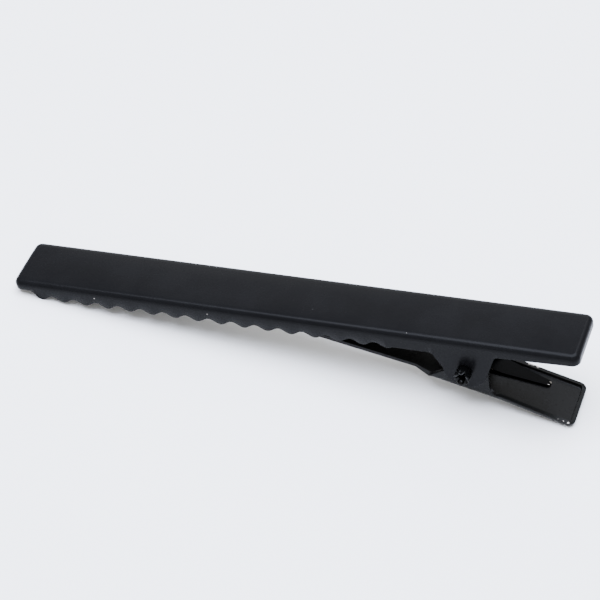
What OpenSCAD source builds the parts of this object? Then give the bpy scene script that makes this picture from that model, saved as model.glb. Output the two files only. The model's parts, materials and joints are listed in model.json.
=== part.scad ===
// Sectioning clip: a flat spring clip that holds a section of hair out of the way.
// A toothed top plate and a lower jaw with a thumb tray turn on one hollow rivet,
// and a bent leaf spring keeps them shut. All sizes are in millimetres.
// Each piece is drawn as it sits in the closed clip, with the top plate's face level
// at Z = 0 and the jaw's tip at X = 0, and clip_at_rest() then lays the closed clip
// on the table: it stands on its first teeth and on the heel of its thumb tray.

/* [Top plate] */
// Length of the top plate, from the jaw's tip to the handle's end
plate_l = 75; // [72:0.5:90]
// Width of the top plate over its side flanges
plate_w = 8; // [7:0.1:10]
// Thickness of the top plate's sheet
plate_sheet = 0.5; // [0.4:0.05:0.6]
// Outside radius of the long edges' bends
bend_r = 0.75; // [0.65:0.05:0.95]
// Radius of the plate's corners seen from above
corner_r = 1.0; // [0.7:0.1:1.4]
// Depth of the flange round the jaw's tip
tip_skirt = 1.4; // [1.1:0.1:1.5]
// Depth of the flange round the handle's end
rear_skirt = 1.5; // [1.2:0.1:1.8]

/* [Teeth] */
// Number of teeth along each side
tooth_count = 16; // [8:1:17]
// Distance from one tooth to the next
tooth_pitch = 3.15; // [2.2:0.05:3.2]
// Distance from the jaw's tip to the first tooth
first_tooth = 3.75; // [3:0.05:4]
// Depth of a tooth's tip below the plate's face
tooth_depth = 2.7; // [2.5:0.05:3.1]
// Height of a tooth from its valley to its tip
tooth_height = 0.7; // [0.4:0.05:0.9]
// Depth of the plain flange between the teeth and the ears
throat_depth = 2.45; // [2.2:0.05:2.6]

/* [Pivot] */
// Distance from the jaw's tip to the pivot's axis
pivot_x = 60.65; // [58:0.05:63]
// Depth of the pivot's axis below the plate's face
pivot_drop = 4.8; // [4.5:0.1:5]
// Radius of the upper jaw's ears
ear_r = 2.8; // [2.6:0.05:3.1]
// Width of an ear where it leaves the flange
ear_root_w = 8; // [7.4:0.1:9]
// Diameter of the pivot pin
pin_d = 1.75; // [1.4:0.05:2]
// Running clearance on the radius between the pin and the lower jaw
pin_clear = 0.05; // [0.02:0.01:0.1]
// How far the pin's open end stands out of the ear
pin_proud = 1.6; // [1:0.1:2]
// Diameter of the pin's flared lip and of its bore
lip_d = 2.1; // [2.05:0.05:2.6]
pin_bore_d = 0.9; // [0.6:0.05:1]
// Diameter and thickness of the pin's closed head
head_d = 2.8; // [2.4:0.1:3.4]
head_t = 0.45; // [0.3:0.05:0.6]

/* [Lower jaw] */
// Thickness of the lower jaw's sheet
jaw_sheet = 0.5; // [0.4:0.05:0.6]
// Gap on each side between the lower jaw's walls and the upper jaw's ears
side_gap = 0.1; // [0.06:0.02:0.2]
// Radius of the lower jaw's ears
jaw_ear_r = 2.75; // [2.5:0.05:2.9]
// Distance from the pivot's axis forward to the foot of the lower jaw's walls
jaw_ear_lead = 4.6; // [4.2:0.1:5]
// Distance from the pivot's axis to the inside of the lower jaw's floor
floor_drop = 3.5; // [3.4:0.05:3.7]
// Slope of the floor under the pivot, in degrees from the top plate
floor_slope = 16; // [14:0.5:17]
// Width of the tongue that lies between the teeth
tongue_w = 4.9; // [4:0.1:5.4]
// Slope of the tongue from the ears to its knee, in degrees
tongue_slope = 13.3; // [12.8:0.1:13.8]
// Gap left between the tongue's tip and the plate in the closed clip
tip_gap = 0.1; // [0.06:0.02:0.2]
// Distance from the jaw's tip to the tongue's tip
tongue_inset = 5.5; // [4:0.5:8]
// Radius of the tongue's knee
knee_r = 25; // [15:1:40]
// Length of the shoulders that widen the tongue to the ears
shoulder_l = 2.4; // [1.5:0.1:4]

/* [Thumb tray] */
// Distance from the pivot's axis back to the tray's crease
crease_back = 3.6; // [3.4:0.1:3.8]
// Slope of the tray, in degrees from the top plate
tray_slope = 19.5; // [18.5:0.5:21]
// Length of the tray from its crease to its end
tray_l = 9.55; // [8:0.05:11]
// Height of the tray's rim over its underside
rim_h = 0.85; // [0.8:0.05:1.1]
// Outward lean of the rim's sides, in degrees
rim_flare = 10; // [5:1:18]
// Outside radius of the tray's bends
tray_bend_r = 0.6; // [0.55:0.05:0.8]
// Radius of the tray's corners seen from above
tray_corner_r = 1.1; // [0.7:0.1:1.5]

/* [Leaf spring] */
// Thickness and width of the spring's strip
spring_t = 0.3; // [0.25:0.05:0.4]
spring_w = 2.5; // [2:0.1:3]
// Outside radius of the spring's bend
spring_r = 2.9; // [2.8:0.05:3]
// Distance from the pivot's axis forward to the bend's centre
spring_lead = 0.9; // [0.6:0.1:1.1]
// Length of each leg from the bend to its tip
spring_leg = 11.3; // [8:0.1:11.5]
// Width of a leg at its rounded tip
spring_tip_w = 0.95; // [0.8:0.05:1.4]
// Gap between the spring and what it presses on or lies beside
spring_gap = 0.03; // [0.02:0.01:0.06]

/* [Motion] */
// How far the lower jaw is turned open, in degrees
open_angle = 0; // [0:1:40]

/* [Hidden] */
$fn = 48;
far = 200;

jaw_w = plate_w - 2 * plate_sheet - 2 * side_gap;
jaw_inside_w = jaw_w - 2 * jaw_sheet;
pivot = [pivot_x, -pivot_drop];

// The lower jaw's underside as a line of corners: under the pivot, crease, tongue root.
function along(slope) = [cos(slope), -sin(slope)];
function up_from(slope) = [sin(slope), cos(slope)];
under_pivot = pivot - (floor_drop + jaw_sheet) * up_from(floor_slope);
function under_floor(back) = under_pivot + back / cos(floor_slope) * along(floor_slope);
crease = under_floor(crease_back + (floor_drop + jaw_sheet) * sin(floor_slope));
ear_front_x = pivot_x - jaw_ear_lead;
root_x = ear_front_x - shoulder_l;
root = under_floor(root_x - under_pivot[0]);

// The tongue runs up to its knee and then forward to its tip, just under the plate.
tip = [tongue_inset, -plate_sheet - tip_gap - jaw_sheet];
rise = tip[1] - root[1];
lead_slope = 1;
knee_x = (rise - root[0] * tan(tongue_slope) + tip[0] * tan(lead_slope))
    / (tan(lead_slope) - tan(tongue_slope));
knee = [knee_x, tip[1] - (knee_x - tip[0]) * tan(lead_slope)];
knee_reach = knee_r * tan((tongue_slope - lead_slope) / 2);
knee_start = knee - knee_reach * along(lead_slope);
knee_centre = knee_start - knee_r * up_from(lead_slope);
knee_steps = 8;
knee_arc = [for (i = [0:knee_steps])
    let (a = lead_slope + (tongue_slope - lead_slope) * i / knee_steps)
    knee_centre + knee_r * up_from(a)];
tray_end = crease + tray_l * along(tray_slope);
underside = concat([tip], knee_arc, [root, crease, tray_end]);

// The closed clip stands on a tooth's tip and on the round heel of the tray.
heel = tray_end - tray_bend_r * along(tray_slope) + tray_bend_r * up_from(tray_slope);
foot = [first_tooth, -tooth_depth];
heel_reach = heel - foot;
rest_tilt = asin(tray_bend_r / norm(heel_reach)) - atan2(heel_reach[1], heel_reach[0]);
rest_x0 = bend_r * sin(rest_tilt);
rest_x1 = plate_l * cos(rest_tilt) + rear_skirt * sin(rest_tilt);
rest_shift = [-(rest_x0 + rest_x1) / 2, (pin_proud - head_t) / 2,
              -foot[0] * sin(rest_tilt) - foot[1] * cos(rest_tilt)];

// The spring's bend stands on the line of the tray's floor, and its upper leg meets the plate.
tray_floor = crease + jaw_sheet * up_from(tray_slope);
bend_x = pivot_x - spring_lead;
bend_centre = [bend_x, tray_floor[1] - (bend_x - tray_floor[0]) * tan(tray_slope)
    + (spring_r + spring_gap) / cos(tray_slope)];
leg_rise = -plate_sheet - spring_gap - bend_centre[1];
leg_reach = spring_leg * cos(tray_slope) - spring_r * sin(tray_slope);
upper_leg_slope = acos(spring_r / norm([leg_rise, leg_reach])) - atan2(leg_reach, leg_rise);
spring_y = jaw_inside_w / 2 - spring_w / 2 - 2 * spring_gap;

// Lays the closed clip on the table, with the middle of its box over the origin.
module clip_at_rest() {
    translate(rest_shift) rotate([0, -rest_tilt, 0]) children();
}

// Turns the lower jaw about the pivot.
module opened() {
    translate([pivot[0], 0, pivot[1]]) rotate([0, -open_angle, 0])
        translate([-pivot[0], 0, -pivot[1]]) children();
}

// Carries a shape drawn in X and Z across the clip, centred on y.
module across(width, y = 0) {
    translate([0, y + width / 2, 0]) rotate([90, 0, 0]) linear_extrude(width) children();
}

// Carries a shape drawn in Y and Z along the clip.
module lengthways(length) {
    rotate([90, 0, 90]) linear_extrude(length) children();
}

// A rectangle with round corners, without offset(), so that it stays exact.
module round_rect(size, r) {
    translate([r, 0]) square([size[0] - 2 * r, size[1]]);
    translate([0, r]) square([size[0], size[1] - 2 * r]);
    for (x = [r, size[0] - r], y = [r, size[1] - r]) translate([x, y]) circle(r);
}

// Outline of the upper jaw from the side: skirt, teeth, throat and rear flange.
module flange_profile() {
    last_tooth = first_tooth + (tooth_count - 1) * tooth_pitch;
    steps = 12;
    wave = [for (i = [0:(tooth_count - 1) * steps])
        [first_tooth + i * tooth_pitch / steps,
         -tooth_depth + tooth_height * (1 - cos(360 * i / steps)) / 2]];
    polygon(concat(
        [[0, 0], [0, -tip_skirt], [first_tooth - tooth_pitch / 2.4, -tip_skirt],
         [first_tooth - tooth_pitch / 6, -tooth_depth + tooth_height / 4]],
        wave,
        [[last_tooth + tooth_pitch / 5, -throat_depth], [pivot_x, -throat_depth],
         [pivot_x, -rear_skirt - 0.35], [plate_l, -rear_skirt], [plate_l, 0]]));
}

// Outline of one ear, from the flange down round the pivot.
module ear_profile() {
    side = ear_root_w / 2;
    translate(pivot) circle(ear_r);
    polygon([[pivot_x - side, -plate_sheet], [pivot_x - side, -throat_depth],
             [pivot_x - ear_r, -pivot_drop], [pivot_x + ear_r, -pivot_drop],
             [pivot_x + side, -throat_depth + 0.6], [pivot_x + side, -plate_sheet]]);
}

// The bent outside of the plate, as if it were solid.
module plate_block(inset) {
    w = plate_w - 2 * inset;
    r = bend_r - inset;
    intersection() {
        translate([inset, 0, 0]) lengthways(plate_l - 2 * inset)
            translate([-w / 2, -far - inset]) {
                square([w, far - r]);
                translate([r, 0]) square([w - 2 * r, far]);
                for (x = [r, w - r]) translate([x, far - r]) circle(r);
            }
        across(plate_w) translate([inset, -far - inset]) {
            square([plate_l - 2 * inset, far - r]);
            translate([r, 0]) square([plate_l - 2 * inset - 2 * r, far]);
            for (x = [r, plate_l - 2 * inset - r]) translate([x, far - r]) circle(r);
        }
        translate([inset, -w / 2, -far]) linear_extrude(2 * far)
            round_rect([plate_l - 2 * inset, w], corner_r - inset);
    }
}

module upper_jaw() {
    color([0.17, 0.17, 0.18]) clip_at_rest() difference() {
        intersection() {
            plate_block(0);
            across(plate_w) {
                flange_profile();
                ear_profile();
            }
        }
        plate_block(plate_sheet);
        across(plate_w + 2) translate(pivot) circle(d = pin_d);
    }
}

// A strip of sheet along a line of corners, with its thickness on the upper side.
function turn(line, i) = let (
    a = line[max(i, 1)] - line[max(i, 1) - 1],
    b = line[min(i, len(line) - 2) + 1] - line[min(i, len(line) - 2)],
    m = a / norm(a) + b / norm(b),
    n = [-m[1], m[0]] / norm(m))
    n / (n * [-a[1], a[0]] / norm(a));

module strip(line, t) {
    last = len(line) - 1;
    polygon(concat(line, [for (i = [last:-1:0]) line[i] + t * turn(line, i)]));
}

// Plan of the tongue, its shoulders and the full width behind them.
module jaw_plan() {
    half = tongue_w / 2;
    tip_r = 1.2;
    translate([tip[0], -half]) round_rect([root_x - tip[0], tongue_w], tip_r);
    polygon([[knee_x, -half], [root_x, -half], [ear_front_x, -jaw_w / 2],
             [far, -jaw_w / 2], [far, jaw_w / 2], [ear_front_x, jaw_w / 2],
             [root_x, half], [knee_x, half]]);
}

// Outline of the lower jaw's side wall round the pivot.
module jaw_wall_profile() {
    front = under_floor(ear_front_x - under_pivot[0]);
    translate(pivot) circle(jaw_ear_r);
    polygon([front, front + [0, jaw_sheet + 0.2],
             pivot + jaw_ear_r * [-cos(20), -sin(20)], pivot + jaw_ear_r * [cos(5), -sin(5)],
             [pivot_x + jaw_ear_r - 0.1, crease[1] + rim_h + 0.6],
             [crease[0] + 0.3, crease[1] + rim_h - 0.1], crease]);
}

// The thumb tray's flared block, with its crease at the origin and its floor level.
module tray_block(inset) {
    half = jaw_w / 2 - inset / cos(rim_flare) + inset * tan(rim_flare);
    lean = tan(rim_flare);
    top = rim_h - inset;
    r = tray_bend_r - inset;
    start_reach = 1.5;
    start = inset > 0 ? -start_reach : -0.4;
    rim_w = jaw_w + 2 * rim_h * lean;
    intersection() {
        translate([start, 0, inset]) lengthways(far)
            polygon([[-half, 0], [half, 0], [half + (top + 1) * lean, top + 1],
                     [-half - (top + 1) * lean, top + 1]]);
        across(2 * plate_w) translate([start, inset]) {
            square([tray_l - inset - start - r, top + inset]);
            translate([0, r]) square([tray_l - inset - start, top + inset - r]);
            translate([tray_l - inset - start - r, r]) circle(r);
        }
        translate([-far, -far, -far]) cube([2 * far, 2 * far, far + rim_h + (inset > 0 ? 1 : 0)]);
        translate([-2 * start_reach, -rim_w / 2 + inset, 0]) linear_extrude(far, center = true)
            round_rect([2 * start_reach + tray_l - inset, rim_w - 2 * inset],
                tray_corner_r - inset);
    }
}

module lower_jaw() {
    color([0.17, 0.17, 0.17]) clip_at_rest() opened() difference() {
        union() {
            intersection() {
                across(plate_w) strip([for (i = [0:len(underside) - 2]) underside[i]], jaw_sheet);
                translate([0, 0, -far / 2]) linear_extrude(far) jaw_plan();
            }
            for (side = [-1, 1])
                across(jaw_sheet, side * (jaw_w - jaw_sheet) / 2) jaw_wall_profile();
            translate([crease[0], 0, crease[1]]) rotate([0, tray_slope, 0]) difference() {
                tray_block(0);
                tray_block(jaw_sheet);
            }
        }
        across(plate_w + 2) translate(pivot) circle(pin_d / 2 + pin_clear);
    }
}

// Side view of the hairpin, a strip along its outside from the upper leg round the bend
// to the lower leg. Both legs are a little longer than the plan, which cuts their tips.
module spring_profile() {
    cut = spring_leg + 1;
    steps = 24;
    start = 90 + upper_leg_slope;
    turned = 180 - upper_leg_slope - tray_slope;
    bend = [for (i = [0:steps]) let (a = start + turned * i / steps)
        bend_centre + spring_r * [cos(a), sin(a)]];
    strip(concat([bend[0] + cut * along(-upper_leg_slope)], bend,
                 [bend[steps] + cut * along(tray_slope)]), spring_t);
}

// Plan of the spring: full width round the pin, tapering to a small round tip.
module spring_plan() {
    r = spring_tip_w / 2;
    tip_x = bend_x + leg_reach - r;
    waist = pivot_x + spring_lead + 2.2;
    polygon([[0, -spring_w / 2], [waist, -spring_w / 2], [tip_x + r / 2, -0.75 * r],
             [tip_x + r / 2, 0.75 * r], [waist, spring_w / 2], [0, spring_w / 2]]);
    translate([tip_x, 0]) circle(r);
}

module leaf_spring() {
    color([0.07, 0.07, 0.08]) clip_at_rest() intersection() {
        across(spring_w, spring_y) spring_profile();
        translate([0, spring_y, -far / 2]) linear_extrude(far) spring_plan();
    }
}

// Hollow rivet along +Y: flared lip at its open end, closed head at the other.
module pivot_pin() {
    shank = plate_w + pin_proud;
    lip_l = 0.5;
    bore_l = pin_proud + 1.2;
    r = pin_d / 2;
    color([0.12, 0.12, 0.13]) clip_at_rest()
        translate([pivot[0], -plate_w / 2 - pin_proud, pivot[1]]) rotate([-90, 0, 0])
            rotate_extrude() polygon([
                [0, bore_l], [pin_bore_d / 2, bore_l], [pin_bore_d / 2, lip_l],
                [lip_d / 2 - 0.15, 0], [lip_d / 2, 0.12], [r, lip_l], [r, shank],
                [head_d / 2, shank], [head_d / 2, shank + head_t * 0.6],
                [head_d / 2 - 0.3, shank + head_t], [0, shank + head_t]]);
}

upper_jaw();
lower_jaw();
leaf_spring();
pivot_pin();
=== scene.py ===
"""Sectioning clip, closed, lying on a pale table.

Each piece is drawn in the clip's own frame, as a press-shop drawing would have it: x runs
from the jaw's tip to the handle's end, y across, and z = 0 is the top face. lay_down() then
tips the finished piece onto the table, so that its hinge lies where the record has it.
All sizes are in millimetres until to_m() turns them to metres.
"""

import json
import math

import bmesh
import bpy
from mathutils import Matrix, Vector


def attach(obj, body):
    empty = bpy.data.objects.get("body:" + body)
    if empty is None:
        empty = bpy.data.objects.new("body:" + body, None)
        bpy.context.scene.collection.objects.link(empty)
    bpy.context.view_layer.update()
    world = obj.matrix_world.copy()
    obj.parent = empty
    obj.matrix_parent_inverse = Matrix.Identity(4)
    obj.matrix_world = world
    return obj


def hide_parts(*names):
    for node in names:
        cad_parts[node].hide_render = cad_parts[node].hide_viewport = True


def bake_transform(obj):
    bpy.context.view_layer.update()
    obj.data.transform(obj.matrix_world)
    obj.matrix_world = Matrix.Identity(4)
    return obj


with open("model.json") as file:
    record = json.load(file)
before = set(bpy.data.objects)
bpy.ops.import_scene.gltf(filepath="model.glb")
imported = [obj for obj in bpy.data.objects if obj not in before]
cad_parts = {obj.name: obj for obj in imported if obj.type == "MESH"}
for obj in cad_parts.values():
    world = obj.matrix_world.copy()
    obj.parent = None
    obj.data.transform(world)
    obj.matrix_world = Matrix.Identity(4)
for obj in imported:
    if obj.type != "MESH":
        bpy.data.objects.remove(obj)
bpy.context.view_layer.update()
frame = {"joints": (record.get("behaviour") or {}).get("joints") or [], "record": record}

# --- sizes, in millimetres and degrees ---
PLATE_L, PLATE_W = 75.0, 8.0
SHEET = 0.5
BEND_R, CORNER_R = 0.75, 1.0
TIP_SKIRT, REAR_SKIRT = 1.4, 1.5
TEETH, PITCH, FIRST_TOOTH = 16, 3.15, 3.75
TOOTH_DEPTH, TOOTH_H, THROAT = 2.7, 0.7, 2.45
PIVOT_X, PIVOT_DROP = 60.65, 4.8
EAR_R = 2.8
PIN_R, PIN_CLEAR = 0.875, 0.05
JAW_W, JAW_EAR_R = 6.8, 2.75
EAR_FRONT_X, SHOULDER_L, CREASE_BACK = 56.05, 2.4, 3.6
FLOOR_DROP, FLOOR_SLOPE = 4.0, 16.0
TONGUE_W, TONGUE_SLOPE, LEAD_SLOPE, KNEE_R = 4.9, 13.3, 1.0, 25.0
TONGUE_TIP = (5.5, -1.1)
TONGUE_TIP_R = 1.2
TRAY_SLOPE, TRAY_L, RIM_H, RIM_FLARE = 19.5, 9.55, 0.85, 0.15
TRAY_BEND_R, TRAY_CORNER_R = 0.6, 0.9
SPRING_T, SPRING_W, SPRING_R, SPRING_LEAD = 0.3, 2.5, 2.9, 0.9
SPRING_LEG, SPRING_TIP_R, SPRING_GAP, SPRING_Y = 11.3, 0.475, 0.03, 1.59
EDGE_R, SPRING_EDGE_R = 0.07, 0.05
SMOOTH_ANGLE = 50
# Flange depth of the plain channel, before its lower edge is pulled to its outline.
BLANK_DEPTH = 1.0
# Height to which the lower jaw's walls are first drawn up.
WALL_START = 0.3
# The crown of the plate's long face at its edges.
CROWN = 0.12


def to_m(*values):
    """Millimetres to metres."""
    return tuple(v * 0.001 for v in values)


def rad(degrees):
    return math.radians(degrees)


def along(slope):
    """Unit vector (x, z) down a slope towards the handle."""
    return Vector((math.cos(rad(slope)), -math.sin(rad(slope))))


def up_from(slope):
    """Unit vector (x, z) square to that slope, upwards."""
    return Vector((math.sin(rad(slope)), math.cos(rad(slope))))


# --- where the clip lies ---
hinge = Vector(frame["joints"][0]["pos_m"])
lean = math.asin(-frame["record"]["mounts"][0]["axis"][0])
LAY = (
    Matrix.Translation(hinge)
    @ Matrix.Rotation(-lean, 4, "Y")
    @ Matrix.Translation(-Vector(to_m(PIVOT_X, 0, -PIVOT_DROP)))
)


# --- working by hand: selecting, moving, finishing ---
def only(obj):
    """Leaves obj the one selected and active object."""
    bpy.ops.object.select_all(action="DESELECT")
    obj.select_set(True)
    bpy.context.view_layer.objects.active = obj


def begin(name):
    """Names the primitive just added, puts its place in its mesh and opens it for editing."""
    obj = bpy.context.object
    obj.name = obj.data.name = name
    bpy.ops.object.transform_apply(location=True, rotation=True, scale=True)
    bpy.ops.object.mode_set(mode="EDIT")
    return obj


def pick(kind, test):
    """Selects the corners, edges or faces that pass the test, in edit mode."""
    bpy.ops.mesh.select_mode(type=kind)
    bpy.ops.mesh.select_all(action="DESELECT")
    data = bpy.context.edit_object.data
    mesh = bmesh.from_edit_mesh(data)
    for part in {"VERT": mesh.verts, "EDGE": mesh.edges, "FACE": mesh.faces}[kind]:
        if test(part):
            part.select_set(True)
    mesh.select_flush_mode()
    bmesh.update_edit_mesh(data)


def shift(x=0.0, y=0.0, z=0.0):
    """Moves the selection by so many millimetres."""
    bpy.ops.transform.translate(value=to_m(x, y, z))


def widen(factor, at):
    """Scales the selection across the clip about a point."""
    bpy.ops.transform.resize(value=(1, factor, 1), center_override=to_m(*at))


def slice_at(co, normal):
    """Cuts a row of edges right round the piece."""
    bpy.ops.mesh.select_all(action="SELECT")
    bpy.ops.mesh.bisect(plane_co=to_m(*co), plane_no=normal)


def apply(obj, kind, **settings):
    """Adds a modifier with its settings and applies it."""
    only(obj)
    modifier = obj.modifiers.new(kind.lower(), kind)
    for key, value in settings.items():
        setattr(modifier, key, value)
    bpy.ops.object.modifier_apply(modifier=modifier.name)


def drill(obj, radius, y0, y1):
    """Drills the hinge hole through the piece from y0 to y1."""
    bpy.ops.object.select_all(action="DESELECT")
    bpy.ops.mesh.primitive_cylinder_add(
        vertices=48,
        radius=radius * 0.001,
        depth=(y1 - y0) * 0.001,
        location=to_m(PIVOT_X, (y0 + y1) / 2, -PIVOT_DROP),
        rotation=(math.pi / 2, 0, 0),
    )
    bit = bpy.context.object
    apply(obj, "BOOLEAN", operation="DIFFERENCE", solver="EXACT", object=bit)
    bpy.data.objects.remove(bit)


def mark_edges(obj):
    """Stores in the attribute 'worn' which faces are the small rounding of a sheared edge."""
    mesh = bmesh.new()
    mesh.from_mesh(obj.data)
    # A rounding is a sharp-sided face less than about 0.06 mm wide.
    rounding = [
        any(e.calc_face_angle(0) > rad(35) for e in f.edges)
        and f.calc_area() < 0.00003 * f.calc_perimeter()
        for f in mesh.faces
    ]
    mesh.free()
    layer = obj.data.attributes.new("worn", "FLOAT", "CORNER")
    for face, worn in zip(obj.data.polygons, rounding):
        for corner in face.loop_indices:
            layer.data[corner].value = float(worn)


def thicken(obj, thickness):
    """Gives the drawn skin the sheet's thickness, inwards."""
    apply(obj, "SOLIDIFY", thickness=thickness * 0.001, offset=-1, use_even_offset=True)


def soften(obj, edge):
    """Breaks the sheared edges and sets the shading."""
    apply(
        obj,
        "BEVEL",
        width=edge * 0.001,
        segments=2,
        limit_method="ANGLE",
        angle_limit=rad(60),
    )
    mark_edges(obj)
    bpy.ops.object.shade_smooth_by_angle(angle=rad(SMOOTH_ANGLE))
    apply(obj, "WEIGHTED_NORMAL", weight=60, keep_sharp=True)


def lay_down(obj):
    """Tips the finished piece onto the table, with its place in its mesh."""
    only(obj)
    obj.matrix_world = LAY
    bpy.ops.object.transform_apply(location=True, rotation=True, scale=True)
    return obj


# --- the toothed top plate: one stamping with a flange bent down all round ---
def flange_stations():
    """Pairs of x and depth along the lower edge of the long flanges, from tip to handle."""
    start = [
        (FIRST_TOOTH - PITCH / 2.4, TIP_SKIRT),
        (2.8, 1.8),
        (FIRST_TOOTH - PITCH / 6, TOOTH_DEPTH - TOOTH_H / 4),
    ]
    steps = 12
    wave = [
        (
            FIRST_TOOTH + i * PITCH / steps,
            TOOTH_DEPTH - TOOTH_H * (1 - math.cos(2 * math.pi * i / steps)) / 2,
        )
        for i in range((TEETH - 1) * steps + 1)
    ]
    last = FIRST_TOOTH + (TEETH - 1) * PITCH
    throat = [(last + 0.35, TOOTH_DEPTH - 0.08), (last + 0.75, THROAT)]
    fillet = [(56.28, THROAT), (56.48, 2.5), (56.66, 2.6), (56.82, 2.79)]
    ear = [(PIVOT_X - EAR_R, PIVOT_DROP)]
    for a in range(10, 180, 10):
        x = PIVOT_X - EAR_R * math.cos(rad(a))
        ear.append((x, PIVOT_DROP + EAR_R * math.sin(rad(a))))
    ear.append((PIVOT_X + EAR_R, PIVOT_DROP))
    heel = [(64.5, 2.22), (64.58, 2.04), (64.7, 1.92), (64.88, 1.86), (65.1, 1.845)]
    return start + wave + throat + fillet + ear + heel


def make_upper_jaw():
    bpy.ops.object.select_all(action="DESELECT")
    bpy.ops.mesh.primitive_cube_add(
        size=1,
        location=to_m(PLATE_L / 2, 0, -BLANK_DEPTH / 2),
        scale=to_m(PLATE_L, PLATE_W, BLANK_DEPTH),
    )
    jaw = begin("toothed_top_plate")
    pick("FACE", lambda f: f.normal.z < -0.9)
    bpy.ops.mesh.delete(type="FACE")
    pick("EDGE", lambda e: abs(e.verts[0].co.z - e.verts[1].co.z) > 1e-5)
    bpy.ops.mesh.bevel(offset=CORNER_R * 0.001, segments=8, affect="EDGES")
    pick("EDGE", lambda e: all(v.co.z > -1e-6 for v in e.verts))
    bpy.ops.mesh.bevel(offset=BEND_R * 0.001, segments=8, affect="EDGES")
    for y in (-2.9, -1.5, 0.0, 1.5, 2.9):
        slice_at((0, y, 0), (0, 1, 0))
    stations = flange_stations()
    for x, _ in stations:
        slice_at((x, 0, 0), (1, 0, 0))
    # The lower edge is pulled down, column by column, to the teeth, the throat and the ears.
    near = 0.01
    low = -(BLANK_DEPTH - near) * 0.001
    for x, depth in stations:
        pick("VERT", lambda v: v.co.z < low and abs(v.co.x * 1000 - x) < 0.004)
        shift(z=BLANK_DEPTH - depth)
    ends = (
        (-1, CORNER_R + near, TIP_SKIRT),
        (PLATE_L - CORNER_R - near, PLATE_L + 1, REAR_SKIRT),
    )
    for x0, x1, depth in ends:
        pick(
            "VERT",
            lambda v: abs(v.co.z * 1000 + BLANK_DEPTH) < near and x0 < v.co.x * 1000 < x1,
        )
        shift(z=BLANK_DEPTH - depth)
    bpy.ops.object.mode_set(mode="OBJECT")
    # The press leaves the long face very slightly crowned.
    for v in jaw.data.vertices:
        if v.co.z > -BEND_R * 0.00101:
            v.co.z -= CROWN * 0.001 * (v.co.y * 2000 / PLATE_W) ** 4
    thicken(jaw, SHEET)
    drill(jaw, PIN_R + 0.01, -6, 6)
    soften(jaw, EDGE_R)
    return lay_down(jaw)


# --- the lower jaw: tongue, shoulders, ears and thumb tray in one stamping ---
pivot = Vector((PIVOT_X, -PIVOT_DROP))
under_pivot = pivot - FLOOR_DROP * up_from(FLOOR_SLOPE)


def floor_at(x):
    """Point on the underside of the sloping floor."""
    return under_pivot + (x - under_pivot.x) / math.cos(rad(FLOOR_SLOPE)) * along(FLOOR_SLOPE)


crease = floor_at(PIVOT_X + CREASE_BACK)
tray_end = crease + TRAY_L * along(TRAY_SLOPE)


def tongue_line():
    """Underside of the tongue from its tip over the knee to its root."""
    tip = Vector(TONGUE_TIP)
    root = floor_at(EAR_FRONT_X - SHOULDER_L)
    tan_t, tan_l = math.tan(rad(TONGUE_SLOPE)), math.tan(rad(LEAD_SLOPE))
    knee_x = (tip.y - root.y - root.x * tan_t + tip.x * tan_l) / (tan_l - tan_t)
    knee = Vector((knee_x, tip.y - (knee_x - tip.x) * tan_l))
    reach = KNEE_R * math.tan(rad(TONGUE_SLOPE - LEAD_SLOPE) / 2)
    centre = knee - reach * along(LEAD_SLOPE) - KNEE_R * up_from(LEAD_SLOPE)
    steps = 10
    arc = [
        centre + KNEE_R * up_from(LEAD_SLOPE + (TONGUE_SLOPE - LEAD_SLOPE) * i / steps)
        for i in range(steps + 1)
    ]
    return tip, arc, root


def run_strip(name, points, widths, y=0.0):
    """Draws a strip of sheet: its end edge is extruded from point to point and widened."""
    bpy.ops.object.select_all(action="DESELECT")
    bpy.ops.mesh.primitive_plane_add(size=0.001, location=to_m(points[0].x, y, points[0].y))
    strip = begin(name)
    first = points[0].x * 0.001
    pick("VERT", lambda v: v.co.x > first)
    bpy.ops.mesh.delete(type="VERT")
    pick("VERT", lambda v: True)
    shift(x=0.5)
    widen(widths[0], (points[0].x, y, points[0].y))
    bpy.ops.mesh.select_mode(type="EDGE")
    bpy.ops.mesh.select_all(action="SELECT")
    for a, b, wa, wb in zip(points, points[1:], widths, widths[1:]):
        bpy.ops.mesh.extrude_edges_move(
            TRANSFORM_OT_translate={"value": to_m(b.x - a.x, 0, b.y - a.y)}
        )
        if abs(wb - wa) > 1e-6:
            widen(wb / wa, (b.x, y, b.y))
    return strip


def wall_outline():
    """Upper outline of the side wall round the hinge, from its foot back to the crease."""
    front = ((57.0, -6.38), (57.72, -5.95), (57.87, -5.5), (57.9, -4.8))
    back = ((63.38, -5.4), (63.3, -6.6), (63.28, -7.7))
    back += ((63.37, -8.35), (63.6, -8.8), (63.95, -9.08))
    outline = [floor_at(EAR_FRONT_X) + Vector((0, 0.7))]
    outline += [Vector(p) for p in front]
    outline += [
        pivot + JAW_EAR_R * Vector((math.cos(rad(a)), math.sin(rad(a))))
        for a in (160, 140, 120, 100, 80, 60, 40, 20, 5)
    ]
    outline += [Vector(p) for p in back]
    outline.append(crease + RIM_H * up_from((FLOOR_SLOPE + TRAY_SLOPE) / 2))
    return outline


# Each column of the wall stands on its own place along the floor.
WALL_FEET = [EAR_FRONT_X, 56.5, 57.0, 57.4, 57.8, 58.2, 58.75, 59.4, 60.1, 60.8, 61.4]
WALL_FEET += [61.95, 62.4, 62.75, 63.0, 63.2, 63.38, 63.55, 63.75, 64.0, crease.x]


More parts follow.
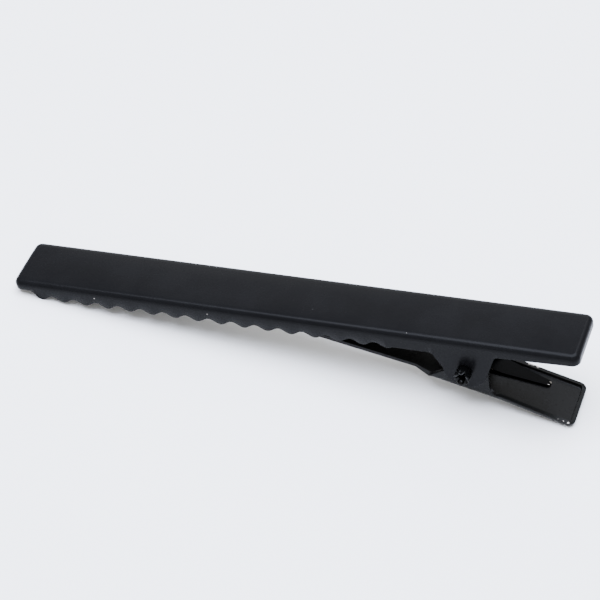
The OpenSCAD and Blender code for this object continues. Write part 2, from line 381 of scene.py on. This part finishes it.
def draw_floor():
    """The flat strip of the lower jaw: tongue, shoulders, floor and tray."""
    tip, arc, root = tongue_line()
    tips = [
        (
            TONGUE_TIP_R * (1 - math.cos(rad(a))),
            TONGUE_W - 2 * TONGUE_TIP_R * (1 - math.sin(rad(a))),
        )
        for a in (0, 22.5, 45, 67.5, 90)
    ]
    points = [tip + s * along(LEAD_SLOPE) for s, _ in tips] + arc + [root]
    points += [floor_at(x) for x in WALL_FEET] + [tray_end]
    widths = [w for _, w in tips] + [TONGUE_W] * (len(arc) + 1)
    widths += [JAW_W] * (len(WALL_FEET) + 1)
    jaw = run_strip("tray_jaw", points, widths)
    end_x = tray_end.x * 0.001
    pick("VERT", lambda v: abs(v.co.x - end_x) < 1e-6)
    bpy.ops.mesh.bevel(offset=TRAY_CORNER_R * 0.001, segments=6, affect="VERTICES")
    return jaw


def make_lower_jaw():
    jaw = draw_floor()
    # Faces look down and out before the walls are drawn up from the floor's border.
    bpy.ops.mesh.select_all(action="SELECT")
    bpy.ops.mesh.normals_make_consistent(inside=False)
    mesh = bmesh.from_edit_mesh(jaw.data)
    mesh.faces.ensure_lookup_table()
    if mesh.faces[0].normal.z > 0:
        bpy.ops.mesh.flip_normals()
    wall_x = (EAR_FRONT_X - 0.01) * 0.001
    pick(
        "EDGE", lambda e: len(e.link_faces) == 1 and all(v.co.x > wall_x for v in e.verts)
    )
    bpy.ops.mesh.extrude_edges_move(TRANSFORM_OT_translate={"value": to_m(0, 0, WALL_START)})
    # Round the hinge, each column's top goes to the wall's outline.
    for x, top in zip(WALL_FEET, wall_outline()):
        base = floor_at(x)
        pick(
            "VERT",
            lambda v: abs(v.co.x * 1000 - base.x) < 0.01
            and abs(v.co.z * 1000 - base.y - WALL_START) < 0.01
            and abs(v.co.y) > 0.003,
        )
        shift(x=top.x - base.x, z=top.y - base.y - WALL_START)
    # Round the tray, the rim stands square to its floor and flares a little.
    tray_x = (crease.x + 0.5) * 0.001

    def on_rim(v):
        if v.co.x < tray_x:
            return False
        back = v.co.x * 1000 - crease.x
        floor_z = crease.y - back * math.tan(rad(TRAY_SLOPE))
        return v.co.z * 1000 > floor_z + WALL_START / 2

    pick("VERT", on_rim)
    up = up_from(TRAY_SLOPE) * RIM_H
    shift(x=up.x, z=up.y - WALL_START)
    widen((JAW_W / 2 + RIM_FLARE) / (JAW_W / 2), (tray_end.x, 0, tray_end.y))

    # The bends between the floor and its walls.
    def is_fold(e):
        if len(e.link_faces) != 2 or any(v.co.x < wall_x for v in e.verts):
            return False
        return e.calc_face_angle(0) > rad(45)

    pick("EDGE", is_fold)
    bpy.ops.mesh.bevel(offset=TRAY_BEND_R * 0.001, segments=6, affect="EDGES")
    bpy.ops.object.mode_set(mode="OBJECT")
    thicken(jaw, SHEET)
    drill(jaw, PIN_R + PIN_CLEAR, -5, 5)
    soften(jaw, EDGE_R)
    return lay_down(jaw)


# --- the leaf spring: a tapered strip bent to a hairpin ---
def spring_geometry():
    """Bend centre, slope of the upper leg and x of the legs' ends, from tray and plate."""
    tray_floor = crease + SHEET * up_from(TRAY_SLOPE)
    bend_x = PIVOT_X - SPRING_LEAD
    lift = (SPRING_R + SPRING_GAP) / math.cos(rad(TRAY_SLOPE))
    centre = Vector(
        (bend_x, tray_floor.y - (bend_x - tray_floor.x) * math.tan(rad(TRAY_SLOPE)) + lift)
    )
    rise = -SHEET - SPRING_GAP - centre.y
    reach = SPRING_LEG * math.cos(rad(TRAY_SLOPE)) - SPRING_R * math.sin(rad(TRAY_SLOPE))
    tangent = math.acos(SPRING_R / math.hypot(rise, reach))
    slope = math.degrees(tangent - math.atan2(reach, rise))
    return centre, slope, bend_x + reach


def make_spring():
    centre, slope, end_x = spring_geometry()
    waist = PIVOT_X + SPRING_LEAD + 2.2
    tip_x = end_x - SPRING_TIP_R

    def width(x):
        if x <= waist:
            return SPRING_W
        if x <= tip_x:
            return SPRING_W + (2 * SPRING_TIP_R - SPRING_W) * (x - waist) / (tip_x - waist)
        return 2 * math.sqrt(max(SPRING_TIP_R**2 - (x - tip_x) ** 2, 0.004))

    ends = [tip_x + SPRING_TIP_R * s for s in (1.0, 0.95, 0.8, 0.55, 0.25, 0.0)]
    xs = ends + [tip_x - 2, waist + 1.5, waist, waist - 1.5]
    low_start = centre - SPRING_R * up_from(TRAY_SLOPE)
    high_start = centre + SPRING_R * up_from(-slope)

    def leg(start, fall):
        return [start + (x - start.x) / math.cos(rad(fall)) * along(fall) for x in xs]

    low, high = leg(low_start, TRAY_SLOPE), leg(high_start, -slope)
    steps = 28
    first, turned = 270 - TRAY_SLOPE, 180 - slope - TRAY_SLOPE
    turns = [rad(first - turned * i / steps) for i in range(steps + 1)]
    bend = [centre + SPRING_R * Vector((math.cos(a), math.sin(a))) for a in turns]
    points = low + bend + high[::-1]
    widths = [width(x) for x in xs] + [SPRING_W] * len(bend) + [width(x) for x in xs[::-1]]
    spring = run_strip("hairpin_leaf_spring", points, widths, SPRING_Y)
    bpy.ops.mesh.select_all(action="SELECT")
    bpy.ops.mesh.normals_make_consistent(inside=False)
    mesh = bmesh.from_edit_mesh(spring.data)
    low_face = min(mesh.faces, key=lambda f: f.calc_center_median().z)
    if low_face.normal.z > 0:
        bpy.ops.mesh.flip_normals()
    bpy.ops.object.mode_set(mode="OBJECT")
    thicken(spring, SPRING_T)
    soften(spring, SPRING_EDGE_R)
    return lay_down(spring), centre


def off_axis(co):
    """Distance from the pivot's axis, in millimetres."""
    return math.hypot(co.x * 1000 - PIVOT_X, co.z * 1000 + PIVOT_DROP)


# --- the hollow rivet: a tube whose open end is split and spread, with a closed head ---
BORE_R, BORE_END = 0.45, -3.2
LIP_EDGE = -5.15
# Place along the pin from the plate's middle, and radius, from the lip's bore to the head.
RIVET_RINGS = (
    (-5.1, 0.45), (-5.3, 0.52), (-5.47, 0.66), (-5.585, 0.86), (-5.6, 0.97), (-5.53, 1.05),
    (-5.38, 1.03), (-5.2, 1.0), (-5.0, 0.98), (-4.1, 0.97), (-4.01, 0.875),
    (4.0, 0.875), (4.0, 1.32), (4.06, 1.4), (4.26, 1.4), (4.37, 1.3), (4.43, 1.05), (4.45, 0.6),
)
# Angle round the pin and depth of each split in the lip.
SPLITS = ((8, 0.42), (63, 0.5), (112, 0.36), (171, 0.48), (228, 0.4), (283, 0.5), (327, 0.3))
# How far each petal between two splits is drawn in, and how far it is bent down.
PETALS = (
    (1.0, 0), (0.9, 0.16), (0.97, 0.05), (0.88, 0.2), (1.0, 0.02), (0.93, 0.12), (0.9, 0.18),
)


def angle_round(v):
    """Angle of a corner round the pin, in degrees from 0 to 360."""
    z, x = v.co.z * 1000 + PIVOT_DROP, v.co.x * 1000 - PIVOT_X
    return math.degrees(math.atan2(z, x)) % 360


def split_lip():
    """Cuts the splits, each a notch with sloping sides, then leans each petal its own way."""
    for at, depth in SPLITS:
        for least, most, share in ((-1, 3.2, 1.0), (3.1, 9.2, 0.45)):
            pick(
                "VERT",
                lambda v: v.co.y * 1000 < LIP_EDGE
                and off_axis(v.co) > 0.1
                and least < abs((angle_round(v) - at + 180) % 360 - 180) <= most,
            )
            shift(y=depth * share)
    first, side = SPLITS[0][0], 9
    for (a, _), (b, _), (give, drop) in zip(SPLITS, SPLITS[1:] + ((360 + first, 0),), PETALS):

        def on_petal(v):
            turn = angle_round(v)
            if turn <= first:
                turn += 360
            return v.co.y * 1000 < LIP_EDGE and a + side < turn < b - side

        pick("VERT", on_petal)
        bpy.ops.transform.resize(
            value=(give, 1, give), center_override=to_m(PIVOT_X, -5.3, -PIVOT_DROP)
        )
        shift(y=drop)


def make_rivet():
    bpy.ops.object.select_all(action="DESELECT")
    bpy.ops.mesh.primitive_circle_add(
        vertices=60,
        radius=BORE_R * 0.001,
        fill_type="NGON",
        location=to_m(PIVOT_X, BORE_END, -PIVOT_DROP),
        rotation=(math.pi / 2, 0, 0),
    )
    rivet = begin("hollow_rivet")
    place, radius = BORE_END, BORE_R
    pick("EDGE", lambda e: len(e.link_faces) == 1)
    for y, r in RIVET_RINGS:
        bpy.ops.mesh.extrude_edges_move(TRANSFORM_OT_translate={"value": to_m(0, y - place, 0)})
        bpy.ops.transform.resize(
            value=(r / radius, 1, r / radius), center_override=to_m(PIVOT_X, y, -PIVOT_DROP)
        )
        place, radius = y, r
    bpy.ops.mesh.edge_face_add()
    split_lip()
    bpy.ops.mesh.select_all(action="SELECT")
    bpy.ops.mesh.normals_make_consistent(inside=False)
    bpy.ops.object.mode_set(mode="OBJECT")
    # The lip's outermost corners are rubbed bare.
    lip = rivet.data.attributes.new("worn", "FLOAT", "POINT")
    for i, v in enumerate(rivet.data.vertices):
        lip.data[i].value = float(v.co.y * 1000 < -5.42 and off_axis(v.co) > 0.6)
    bpy.ops.object.shade_smooth_by_angle(angle=rad(SMOOTH_ANGLE))
    return lay_down(rivet)


# --- chips: where the film is knocked off, each with its size in millimetres ---
def on_clip(x, y, z):
    """A place of the clip's own frame, where it lies on the table."""
    return tuple(LAY @ Vector(to_m(x, y, z)))


def on_flange(tooth, below):
    """On the near flange, at a tooth, or between two, and so far below the top face."""
    return on_clip(FIRST_TOOTH + (tooth - 1) * PITCH, -PLATE_W / 2, -below)


def on_tray(back, y, above):
    """So far behind the crease, and so far above the underside of the tray's floor."""
    spot = crease + back * along(TRAY_SLOPE) + above * up_from(TRAY_SLOPE)
    return on_clip(spot.x, y, spot.y)


# Two on the near flange, one on the tip's corner and one on the long bend above the throat.
PLATE_CHIPS = (
    (on_flange(3.5, 1.15), 0.16),
    (on_flange(8.5, 1.15), 0.12),
    (on_clip(CORNER_R / 2, CORNER_R - PLATE_W / 2, -0.08), 0.14),
    (on_clip(PIVOT_X - 7, SHEET - PLATE_W / 2, -0.1), 0.12),
)
# Three along the near rim towards the tray's end, and three on the far rim behind the crease.
RIM_TOP = RIM_H + 0.05
TRAY_CHIPS = (
    (on_tray(TRAY_L - 1.4, -JAW_W / 2, RIM_TOP), 0.2),
    (on_tray(TRAY_L - 0.8, -JAW_W / 2, RIM_TOP), 0.26),
    (on_tray(TRAY_L - 2.1, -JAW_W / 2, RIM_TOP), 0.12),
    (on_tray(2.0, JAW_W / 2, RIM_TOP), 0.5),
    (on_tray(2.5, JAW_W / 2, RIM_TOP), 0.3),
    (on_tray(3.0, JAW_W / 2, RIM_TOP), 0.45),
)
# Two at the spring's tip, on its upper face.
SPRING_TOP = SHEET + SPRING_GAP + SPRING_T
SPRING_CHIPS = (
    (on_tray(5.2, SPRING_Y + 0.15, SPRING_TOP), 0.34),
    (on_tray(5.0, SPRING_Y - 0.3, SPRING_TOP), 0.2),
)


# --- finishes ---
# Sizes in the film, in millimetres: duller patches, cloudiness, space between dust nibs,
# uneven dust, runs of bare edge, ragged rims of chips, and orange peel.
PATCH, CLOUD, NIB_SPACE, DUST, BARE_RUN, RAGGED, PEEL = 6.0, 0.9, 2.6, 7.0, 1.1, 0.25, 0.35


def paint(code):
    """Linear colour of an sRGB hex value."""
    parts = [int(code[i : i + 2], 16) / 255 for i in (1, 3, 5)]
    linear = [c / 12.92 if c <= 0.04045 else ((c + 0.055) / 1.055) ** 2.4 for c in parts]
    return (*linear, 1.0)


def add(tree, kind, settings=(), links=()):
    """Adds a node, with its settings and values by name and links from other nodes' outputs."""
    node = tree.nodes.new(kind)
    for key, value in dict(settings).items():
        if isinstance(key, int) or key in node.inputs:
            node.inputs[key].default_value = value
        else:
            setattr(node, key, value)
    for socket, source in dict(links).items():
        tree.links.new(node.inputs[socket], source)
    return node


def per_mm(size):
    """Texture scale that gives features of this size in millimetres."""
    return 1000.0 / size


def lacquered_steel(name, colour, rough, gloss, peel, bare_share, chips=()):
    """Black stoving lacquer, sprayed on stamped steel and baked: a satin black film that levels
    into a faint orange peel, a little duller in patches, with dust nibs under it and bare steel
    where the film is thinnest, on the sheared edges. The gloss is below a bare lacquer's usual
    0.5, to keep the film as black as it should be beside a bright table."""
    material = bpy.data.materials.new(name)
    material.use_nodes = True
    tree = material.node_tree
    tree.nodes.clear()
    place = add(tree, "ShaderNodeTexCoord").outputs["Object"]

    def noise(size, detail=2.0, roughness=0.5):
        return add(
            tree,
            "ShaderNodeTexNoise",
            {"Scale": per_mm(size), "Detail": detail, "Roughness": roughness},
            {"Vector": place},
        ).outputs["Fac"]

    def ramp(source, low, high, a=0.0, b=1.0):
        return add(
            tree,
            "ShaderNodeMapRange",
            {"From Min": low, "From Max": high, "To Min": a, "To Max": b},
            {"Value": source},
        ).outputs["Result"]

    def times(a, b):
        return add(
            tree, "ShaderNodeMath", {"operation": "MULTIPLY"}, {0: a, 1: b}
        ).outputs[0]

    def mix(kind, factor, a, b):
        node = add(tree, "ShaderNodeMix", {"data_type": kind})
        ends = {"FLOAT": (0, 2, 3, 0), "RGBA": (0, 6, 7, 2)}[kind]
        for socket, value in zip(ends[:3], (factor, a, b)):
            if isinstance(value, bpy.types.NodeSocket):
                tree.links.new(node.inputs[socket], value)
            else:
                node.inputs[socket].default_value = value
        return node.outputs[ends[3]]

    # Patches where the film dried duller, and a finer cloudiness.
    patches = ramp(noise(PATCH), 0.35, 0.65)
    cloud = ramp(noise(CLOUD, 3.0), 0.3, 0.7)
    tone = mix("RGBA", patches, paint(colour[0]), paint(colour[1]))
    # Dust nibs a tenth of a millimetre or two across, one every few millimetres.
    nib_cells = add(
        tree,
        "ShaderNodeTexVoronoi",
        {"Scale": per_mm(NIB_SPACE), "Randomness": 1.0},
        {"Vector": place},
    ).outputs["Distance"]
    nibs = ramp(nib_cells, 0.02, 0.045, 1.0, 0.0)
    dusty = times(nibs, ramp(noise(DUST), 0.5, 0.56))
    tone = mix("RGBA", dusty, tone, paint("#242424"))
    # Bare steel on the sheared edges, in broken runs.
    edge = add(
        tree, "ShaderNodeAttribute", {"attribute_name": "worn", "attribute_type": "GEOMETRY"}
    ).outputs["Fac"]
    runs = ramp(noise(BARE_RUN, 4.0, 0.65), 1.0 - bare_share, 1.04 - bare_share)
    bare = times(edge, runs)
    # Chips, where the film is knocked off down to the steel.
    for at, size in chips:
        away = add(
            tree,
            "ShaderNodeVectorMath",
            {"operation": "DISTANCE", 1: at},
            {0: place},
        ).outputs["Value"]
        ragged = add(
            tree,
            "ShaderNodeMath",
            {"operation": "MULTIPLY_ADD", 1: size * 0.0012},
            {0: noise(RAGGED, 3.0), 2: away},
        ).outputs[0]
        spot = ramp(ragged, size * 0.001, size * 0.00108, 1.0, 0.0)
        bare = add(
            tree, "ShaderNodeMath", {"operation": "MAXIMUM"}, {0: bare, 1: spot}
        ).outputs[0]
    colour_out = mix("RGBA", bare, tone, paint("#7d7973"))
    dull = add(tree, "ShaderNodeMath", {"operation": "ADD"}, {0: patches, 1: cloud}).outputs[0]
    film_rough = ramp(dull, 0.0, 2.0, *rough)
    # Orange peel, and the nibs standing up through the film.
    height = add(
        tree,
        "ShaderNodeMath",
        {"operation": "MULTIPLY_ADD", 1: 2.0},
        {0: nibs, 2: noise(PEEL, 2.0)},
    ).outputs[0]
    bump = add(
        tree,
        "ShaderNodeBump",
        {"Strength": peel, "Distance": 0.00002},
        {"Height": height},
    ).outputs["Normal"]
    shader = add(
        tree,
        "ShaderNodeBsdfPrincipled",
        {"IOR": 1.5, "Specular IOR Level": gloss},
        {
            "Base Color": colour_out,
            "Roughness": mix("FLOAT", bare, film_rough, 0.4),
            "Metallic": bare,
            "Normal": bump,
        },
    )
    add(tree, "ShaderNodeOutputMaterial", {}, {"Surface": shader.outputs[0]})
    return material


def wear(obj, material):
    """Gives the piece its finish."""
    obj.data.materials.clear()
    obj.data.materials.append(material)


# --- camera, table and light ---
def look(obj, place, target, roll=0.0):
    """Stands a camera or lamp at a place, in millimetres, looking at a target."""
    way = Vector(target) - Vector(place)
    obj.matrix_world = (
        Matrix.Translation(to_m(*place))
        @ way.to_track_quat("-Z", "Y").to_matrix().to_4x4()
        @ Matrix.Rotation(rad(roll), 4, "Z")
    )


camera = bpy.data.objects.new("camera", bpy.data.cameras.new("camera"))
bpy.context.scene.collection.objects.link(camera)
camera.data.sensor_width = 36.0
camera.data.lens = 123.78
look(camera, (62.69, -166.03, 192.15), (0.19, 2.63, 5.0), -1.26)
bpy.context.scene.camera = camera


def softbox(name, place, target, width, depth, watts, tint):
    """A soft lamp of a width and depth in millimetres."""
    lamp = bpy.data.lights.new(name, "AREA")
    lamp.shape = "RECTANGLE"
    lamp.size, lamp.size_y = to_m(width, depth)
    lamp.energy = watts
    lamp.color = paint(tint)[:3]
    obj = bpy.data.objects.new(name, lamp)
    bpy.context.scene.collection.objects.link(obj)
    look(obj, place, target)


middle_of_clip = (0, 0, 0)
# Overhead light for the table and the bend along the near side.
softbox("overhead_softbox", (-20, 20, 620), middle_of_clip, 760, 520, 25.0, "#e6edff")
# A card for the tray's floor, and a strip that lightens the plate towards its far edge.
softbox("back_card", (160, 560, 560), (20, 0, 0), 380, 260, 1.0, "#ffffff")
softbox("back_strip", (-260, 860, 400), middle_of_clip, 700, 460, 4.2, "#ffffff")
softbox("front_fill", (150, -700, 380), middle_of_clip, 500, 300, 0.5, "#fffaf2")

world = bpy.data.worlds.new("studio")
bpy.context.scene.world = world
world.use_nodes = True
studio = world.node_tree.nodes["Background"]
studio.inputs["Color"].default_value = paint("#f4f5f7")
studio.inputs["Strength"].default_value = 0.85

bpy.ops.object.select_all(action="DESELECT")
bpy.ops.mesh.primitive_plane_add(size=6.0, location=(0, 0, 0))
table = bpy.context.object
table.name = "table_top"
white = bpy.data.materials.new("matt_white_card")
white.use_nodes = True
card = white.node_tree.nodes["Principled BSDF"]
card.inputs["Base Color"].default_value = paint("#f2f2f2")
card.inputs["Roughness"].default_value = 0.9
table.data.materials.append(white)

# --- the pieces ---
upper = make_upper_jaw()
lower = make_lower_jaw()
spring, bend_centre = make_spring()
rivet = make_rivet()

plate_lacquer = lacquered_steel(
    "stoved_black_lacquer_plate",
    colour=("#0b0b0c", "#0d0d0e"),
    rough=(0.24, 0.3),
    gloss=0.036,
    peel=0.12,
    bare_share=0.3,
    chips=PLATE_CHIPS,
)
# The tray wears the plate's black lacquer, but this copy is set a touch lighter and glossier:
# painted light that lifts the tray's floor where it lies in the plate's shade.
jaw_lacquer = lacquered_steel(
    "black_lacquer_tray_lightened_for_shade",
    colour=("#0c0c0c", "#0e0e0e"),
    rough=(0.24, 0.32),
    gloss=0.06,
    peel=0.12,
    bare_share=0.3,
    chips=TRAY_CHIPS,
)
# The spring's film is set near black, several times darker than the plate's lacquer.
spring_lacquer = lacquered_steel(
    "near_black_spring_film",
    colour=("#010101", "#020202"),
    rough=(0.3, 0.38),
    gloss=0.02,
    peel=0.08,
    bare_share=0.3,
    chips=SPRING_CHIPS,
)
rivet_lacquer = lacquered_steel(
    "lacquered_rivet_with_worn_lip",
    colour=("#040404", "#060606"),
    rough=(0.24, 0.34),
    gloss=0.08,
    peel=0.1,
    bare_share=0.4,
)
wear(upper, plate_lacquer)
wear(lower, jaw_lacquer)
wear(spring, spring_lacquer)
wear(rivet, rivet_lacquer)

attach(upper, "top_plate")
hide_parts("upper_jaw")
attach(rivet, "top_plate")
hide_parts("pivot_pin")
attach(lower, "jaw_lever")
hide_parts("lower_jaw")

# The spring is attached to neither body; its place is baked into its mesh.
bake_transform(spring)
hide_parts("leaf_spring")
